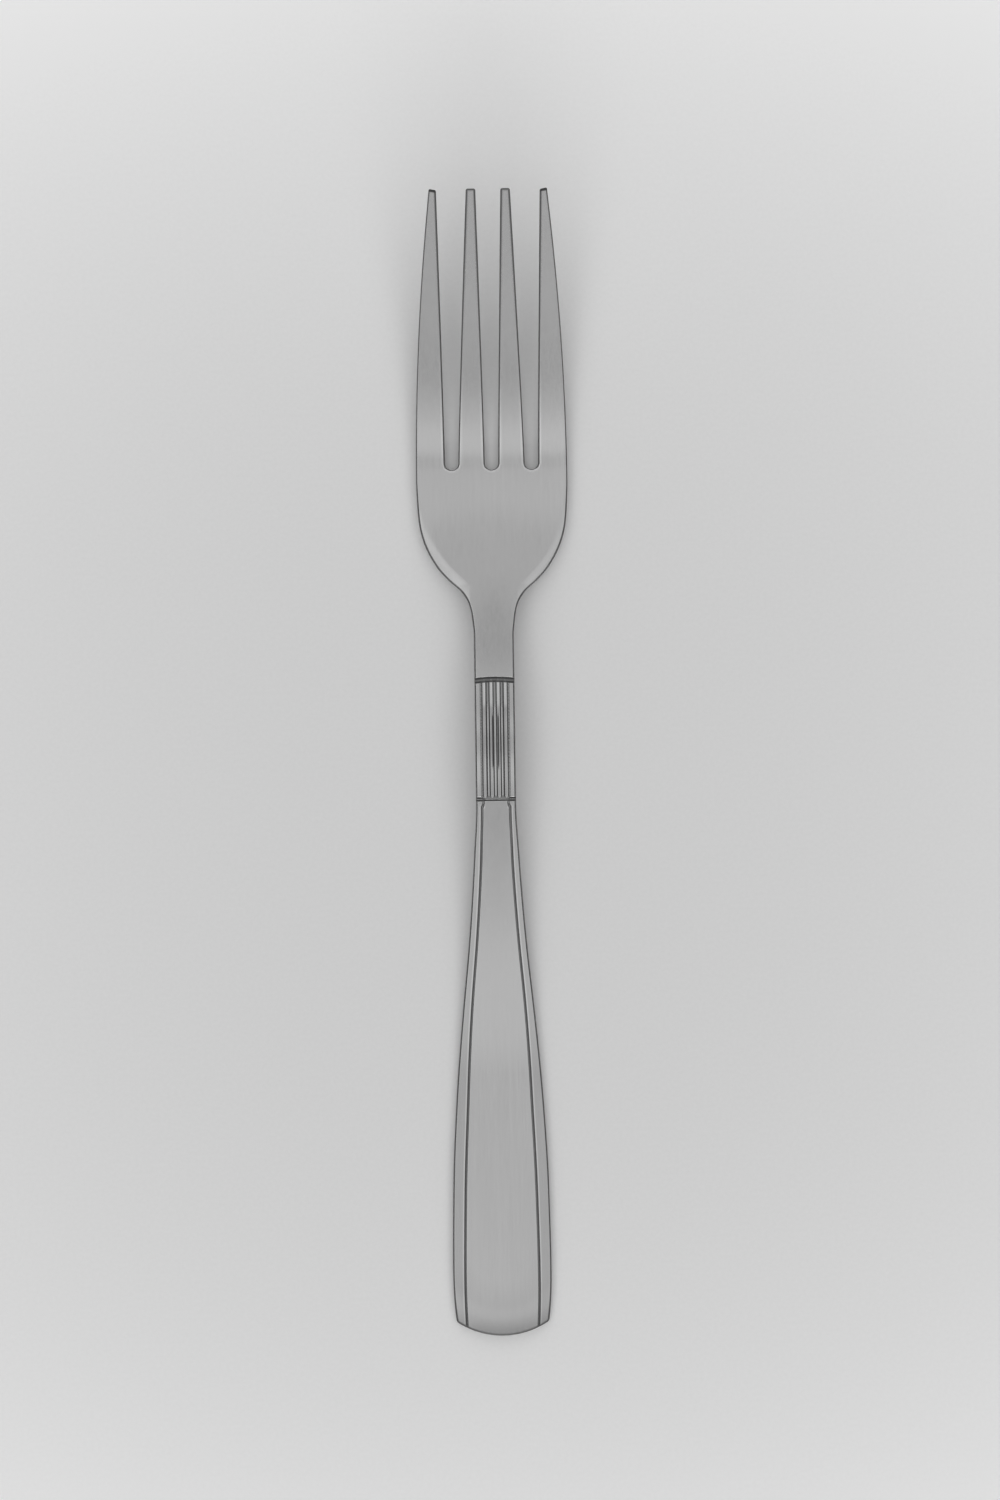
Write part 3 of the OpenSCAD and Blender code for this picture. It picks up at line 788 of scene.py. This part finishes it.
    def quads(self, mask):
        k, j = np.nonzero(mask)
        v = k * self.columns + j
        return np.stack([v, v + 1, v + self.columns + 1, v + self.columns], 1)

    def edge_keys(self, edges):
        return edges[:, 0] * self.count + edges[:, 1]

    def faces(self, mask):
        """Quads of the face and the back, quads of the walls, and the face's edge above each wall."""
        tops = self.quads(mask)
        rim = rim_edges(tops, self.count)
        walls = np.stack([rim[:, 1], rim[:, 0], rim[:, 0] + self.count, rim[:, 1] + self.count], 1)
        return np.concatenate([tops, tops[:, ::-1] + self.count]), walls, rim

    def smooth_normals(self):
        mesh = bpy.data.meshes.new("whole")
        surface, walls, _ = self.faces(self.solid)
        mesh.from_pydata(self.points.tolist(), [], np.concatenate([surface, walls]).tolist())
        normals = np.zeros(3 * len(self.points))
        mesh.vertex_normals.foreach_get("vector", normals)
        bpy.data.meshes.remove(mesh)
        return normals.reshape(-1, 3)

    def piece(self, name, start, stop, left=-math.inf, right=math.inf):
        """A closed mesh of the rows from start to stop, between two places across."""
        k0, k1 = np.searchsorted(self.places, [start, stop])
        middles = (self.x[k0:k1, :-1] + self.x[k0:k1, 1:]) / 2
        mask = np.zeros_like(self.solid)
        mask[k0:k1] = self.solid[k0:k1] & (middles > left) & (middles < right)
        surface, walls, rim = self.faces(mask)
        faces = np.concatenate([surface, walls])
        on_outline = np.isin(self.edge_keys(rim), self.outline)
        used, numbers = np.unique(faces, return_inverse=True)
        mesh = bpy.data.meshes.new(name)
        mesh.from_pydata(self.points[used].tolist(), [], numbers.reshape(faces.shape).tolist())
        mesh.shade_smooth()
        normals = self.normals[faces]
        caps = len(surface) + np.flatnonzero(~on_outline)
        along = np.where(self.points[walls[:, 0], 1] > self.points[used, 1].mean(), 1.0, -1.0)
        normals[caps] = (np.array([0.0, 1.0, 0.0]) * along[~on_outline, None])[:, None]
        mesh.normals_split_custom_set(normals.reshape(-1, 3).tolist())
        for key, values in (("painted_shade", self.painted_shade), ("painted_light", self.painted_light)):
            layer = mesh.attributes.new(key, "FLOAT", "POINT")
            layer.data.foreach_set("value", values[used].astype(np.float32))
        return mesh


class Nodes:
    """Short calls for building a tree of shader nodes."""

    def __init__(self, tree):
        self.tree = tree
        tree.nodes.clear()

    def add(self, kind, inputs=None, **settings):
        node = self.tree.nodes.new(kind)
        for name, value in settings.items():
            setattr(node, name, value)
        for name, value in (inputs or {}).items():
            if isinstance(value, bpy.types.NodeSocket):
                self.tree.links.new(value, node.inputs[name])
            else:
                node.inputs[name].default_value = value
        return node

    def math(self, operation, a, b=0.0):
        return self.add("ShaderNodeMath", {0: a, 1: b}, operation=operation).outputs[0]

    def total(self, *values):
        sum_of = values[0]
        for value in values[1:]:
            sum_of = self.math("ADD", sum_of, value)
        return sum_of

    def change(self, value, low, high, to_low, to_high):
        """A value's place between two levels, carried over to two others."""
        return self.add("ShaderNodeMapRange", {
            "Value": value, "From Min": low, "From Max": high,
            "To Min": to_low, "To Max": to_high}).outputs[0]

    def blend(self, start, stop, share):
        return self.change(share, 0.0, 1.0, start, stop)

    def swing(self, noise, middle, by):
        """A value that swings about a middle with a noise."""
        return self.change(noise, *NOISE_RANGE, middle - by, middle + by)

    def growth(self, distance, reach, power, rise):
        """A power of a distance that comes to a rise at a reach."""
        share = self.math("POWER", self.math("DIVIDE", distance, reach), power)
        return self.math("MULTIPLY", share, rise)

    def noise(self, vector, scale, detail, rough=0.5):
        return self.add("ShaderNodeTexNoise", {
            "Vector": vector, "Scale": scale, "Detail": detail, "Roughness": rough}).outputs["Fac"]

    def streaks(self, vector, across, along, detail):
        stretched = self.add("ShaderNodeMapping", {"Vector": vector, "Scale": (across, along, across)})
        return self.noise(stretched.outputs[0], 1.0, detail)

    def grey(self, level):
        parts = {"Red": level, "Green": level, "Blue": level}
        return self.add("ShaderNodeCombineColor", parts).outputs[0]


def new_material(name):
    material = bpy.data.materials.new(name)
    material.use_nodes = True
    return material, Nodes(material.node_tree)


# Steel: its level, how rough it is and how strongly brushed, and the level and roughness of the dark
# paint of its painted shade
STEEL_LEVEL = 0.5
SATIN_ROUGH = 0.2
SATIN_BRUSH = 1.0
BRIGHT_ROUGH = 0.16
BRIGHT_BRUSH = 0.4
PAINTED_SHADE_LEVEL = 0.055
MATT_ROUGH = 0.5
SPECULAR = 0.2

# Brush lines, each with its scales per metre across and along and its detail, and clouds. Their
# noise mostly stays in its range, and over that range the steel's level and roughness swing
FINE_LINES = (6000.0, 300.0, 3.0)
COARSE_LINES = (1800.0, 30.0, 2.0)
FINE_SHARE = 0.6
CLOUD_SCALE = 60.0
CLOUD_DETAIL = 3.0
NOISE_RANGE = (0.3, 0.7)
BRUSH_SWING = 0.016
CLOUD_SWING = 0.008
ROUGH_SWING = 0.03
BUMP_STRENGTH = 0.3
BUMP_DISTANCE = 0.00002

# Table, in metres: its level and grain, and the painted light that makes its level grow away from the
# middle of the view
TABLE_HALF = 1.5
TABLE_LEVEL = 0.788
TABLE_ROUGH = 0.8
GRAIN_SCALE = 1500.0
GRAIN_DETAIL = 2.0
GRAIN_SWING = 0.012
ALONG_MIDDLE = -0.008
ALONG_LIGHT_RISE = 0.215
ALONG_REACH = 0.135
ALONG_POWER = 2.7
ASIDE_LIGHT_RISE = 0.065
ASIDE_REACH = 0.085
ASIDE_POWER = 2.0
MOST_LIGHT_RISE = 0.4


def steel_material(name, rough, brushed):
    """Brushed steel. Its lines run along the fork. Painted shade and painted light darken and lighten it.
    """
    material, n = new_material(name)
    place = n.add("ShaderNodeTexCoord").outputs["Object"]
    # Painted shade and painted light, read from the points
    painted_shade = n.add("ShaderNodeAttribute", attribute_name="painted_shade").outputs["Fac"]
    painted_light = n.add("ShaderNodeAttribute", attribute_name="painted_light").outputs["Fac"]
    brush = n.total(
        n.math("MULTIPLY", n.streaks(place, *FINE_LINES), FINE_SHARE),
        n.math("MULTIPLY", n.streaks(place, *COARSE_LINES), 1.0 - FINE_SHARE))
    cloud = n.noise(place, CLOUD_SCALE, CLOUD_DETAIL)
    level = n.total(
        n.swing(brush, STEEL_LEVEL, BRUSH_SWING * brushed),
        n.swing(cloud, 0.0, CLOUD_SWING))
    # Painted light: the level is painted darker where it is above zero and lighter where it is below
    level = n.math("MULTIPLY", level, n.math("SUBTRACT", 1.0, painted_light))
    shine = n.swing(brush, rough, ROUGH_SWING * brushed)
    bump = n.add("ShaderNodeBump", {
        "Height": brush, "Strength": BUMP_STRENGTH * brushed, "Distance": BUMP_DISTANCE})
    # Where there is painted shade the steel is painted dark, rough and not metal
    shader = n.add("ShaderNodeBsdfPrincipled", {
        "Base Color": n.grey(n.blend(level, PAINTED_SHADE_LEVEL, painted_shade)), "Metallic": n.blend(1.0, 0.0, painted_shade),
        "Roughness": n.blend(shine, MATT_ROUGH, painted_shade), "Specular IOR Level": SPECULAR,
        "Normal": bump.outputs[0]})
    n.add("ShaderNodeOutputMaterial", {"Surface": shader.outputs[0]})
    return material


def table_material():
    """A rough sheet with painted light, which grows a little paler away from the middle of the view."""
    material, n = new_material("table")
    place = n.add("ShaderNodeTexCoord").outputs["Object"]
    way = n.add("ShaderNodeSeparateXYZ", {"Vector": place})
    along = n.math("ABSOLUTE", n.math("SUBTRACT", way.outputs["Y"], ALONG_MIDDLE))
    aside = n.math("ABSOLUTE", way.outputs["X"])
    # Painted light: the table grows paler away from the middle of the view
    rise = n.total(
        n.growth(along, ALONG_REACH, ALONG_POWER, ALONG_LIGHT_RISE),
        n.growth(aside, ASIDE_REACH, ASIDE_POWER, ASIDE_LIGHT_RISE))
    grain = n.swing(n.noise(place, GRAIN_SCALE, GRAIN_DETAIL), 0.0, GRAIN_SWING)
    level = n.math("MULTIPLY", n.total(n.math("MINIMUM", rise, MOST_LIGHT_RISE), 1.0, grain), TABLE_LEVEL)
    shader = n.add("ShaderNodeBsdfPrincipled", {
        "Base Color": n.grey(level), "Roughness": TABLE_ROUGH, "Specular IOR Level": SPECULAR})
    n.add("ShaderNodeOutputMaterial", {"Surface": shader.outputs[0]})
    return material


# Room. Its level goes by the direction along the fork, from the handle's side, -1, over the top to
# the tines' side, 1, and was fitted to how bright the steel is along the fork. It is multiplied by
# a level for the direction across. Low strips are added at both ends
ROOM_LEVELS = [
    (-1, 0.24), (-0.8, 0.54), (-0.64, 0.71), (-0.56, 0.70), (-0.5, 0.50), (-0.4, 0.79), (-0.35, 0.76),
    (-0.3, 0.92), (-0.1, 0.93), (-0.05, 0.70), (0, 0.61), (0.05, 0.82), (0.16, 0.87), (0.23, 0.70),
    (0.46, 0.77), (0.54, 0.49), (0.7, 0.90), (0.78, 1.15), (0.86, 0.40), (1, 0.24),
]
SIDE_LEVELS = [
    (-1, 0.06), (-0.8, 0.1), (-0.66, 0.3), (-0.54, 1.1), (-0.34, 1.4), (-0.2, 1), (0.2, 1),
    (0.34, 1.2), (0.54, 1), (0.66, 0.3), (0.8, 0.1), (1, 0.06),
]
STRIP_LEVELS = [
    (-1, 0), (-0.985, 0), (-0.96, 7), (-0.9, 7), (-0.86, 0), (0.78, 0), (0.84, 1), (0.93, 1),
    (0.97, 0), (1, 0),
]
STRIP_SHARES = [
    (-1, 0), (-0.35, 0), (-0.25, 1), (0.25, 1), (0.35, 0), (1, 0),
]

# The view from above, in metres but for the sensor. The fork's tips lean a little to the left
CAMERA_HEIGHT = 1.0
FRAME_HEIGHT = 0.2703
SENSOR = 36.0
CAMERA_X = 0.00083
CAMERA_Y = 0.0029
FORK_LEAN = math.radians(0.773)


def add_object(name, data):
    item = bpy.data.objects.new(name, data)
    bpy.context.scene.collection.objects.link(item)
    return item


def add_camera():
    data = bpy.data.cameras.new("camera")
    data.sensor_fit = "VERTICAL"
    data.sensor_height = SENSOR
    data.lens = SENSOR * CAMERA_HEIGHT / FRAME_HEIGHT
    camera = add_object("camera", data)
    camera.location = (CAMERA_X, CAMERA_Y, CAMERA_HEIGHT)
    camera.rotation_euler = (0.0, 0.0, -FORK_LEAN)
    bpy.context.scene.camera = camera


def level_ramp(n, value, levels):
    """A ramp of grey levels against a value."""
    first, last = levels[0][0], levels[-1][0]
    ramp = n.add("ShaderNodeValToRGB", {"Fac": n.change(value, first, last, 0.0, 1.0)})
    stops = ramp.color_ramp.elements
    while len(stops) < len(levels):
        stops.new(0.5)
    for stop, (place, level) in zip(stops, levels):
        stop.position = (place - first) / (last - first)
        stop.color = (level, level, level, 1.0)
    return ramp.outputs["Color"]


def add_room():
    world = bpy.data.worlds.new("room")
    world.use_nodes = True
    n = Nodes(world.node_tree)
    way = n.add("ShaderNodeSeparateXYZ", {"Vector": n.add("ShaderNodeTexCoord").outputs["Generated"]})
    along = level_ramp(n, way.outputs["Y"], ROOM_LEVELS)
    aside = level_ramp(n, way.outputs["X"], SIDE_LEVELS)
    strips = n.math("MULTIPLY", level_ramp(n, way.outputs["Y"], STRIP_LEVELS),
                    level_ramp(n, way.outputs["X"], STRIP_SHARES))
    level = n.grey(n.math("ADD", n.math("MULTIPLY", along, aside), strips))
    shade = n.add("ShaderNodeBackground", {"Color": level, "Strength": 1.0})
    n.add("ShaderNodeOutputWorld", {"Surface": shade.outputs[0]})
    bpy.context.scene.world = world


def add_table():
    corners = [(x * TABLE_HALF, y * TABLE_HALF, 0) for x, y in ((-1, -1), (1, -1), (1, 1), (-1, 1))]
    mesh = bpy.data.meshes.new("table")
    mesh.from_pydata(corners, [], [(0, 1, 2, 3)])
    mesh.materials.append(table_material())
    add_object("table", mesh)


def add_fork():
    fork = Fork()
    satin = steel_material("satin_steel", SATIN_ROUGH, SATIN_BRUSH)
    bright = steel_material("bright_steel", BRIGHT_ROUGH, BRIGHT_BRUSH)
    spans = {
        "handle": (CORNER_START, HANDLE_LENGTH),
        "fluted_band": (HANDLE_LENGTH, BAND_TOP),
        "neck": (BAND_TOP, HEAD_AT),
        "head": (HEAD_AT, ROOT_AT),
        "tine_1": (ROOT_AT, FORK_LENGTH, -math.inf, -SLOT_PITCH),
        "tine_2": (ROOT_AT, FORK_LENGTH, -SLOT_PITCH, 0),
        "tine_3": (ROOT_AT, FORK_LENGTH, 0, SLOT_PITCH),
        "tine_4": (ROOT_AT, FORK_LENGTH, SLOT_PITCH, math.inf),
    }
    for node, span in spans.items():
        mesh = fork.piece(f"steel_{node}", *span)
        is_band = node == "fluted_band"
        mesh.materials.append(bright if is_band else satin)
        piece = add_object(f"steel_{node}", mesh)
        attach(piece, "root")
        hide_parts(node)


add_camera()
add_room()
add_table()
add_fork()

bpy.context.scene.view_settings.view_transform = "Standard"
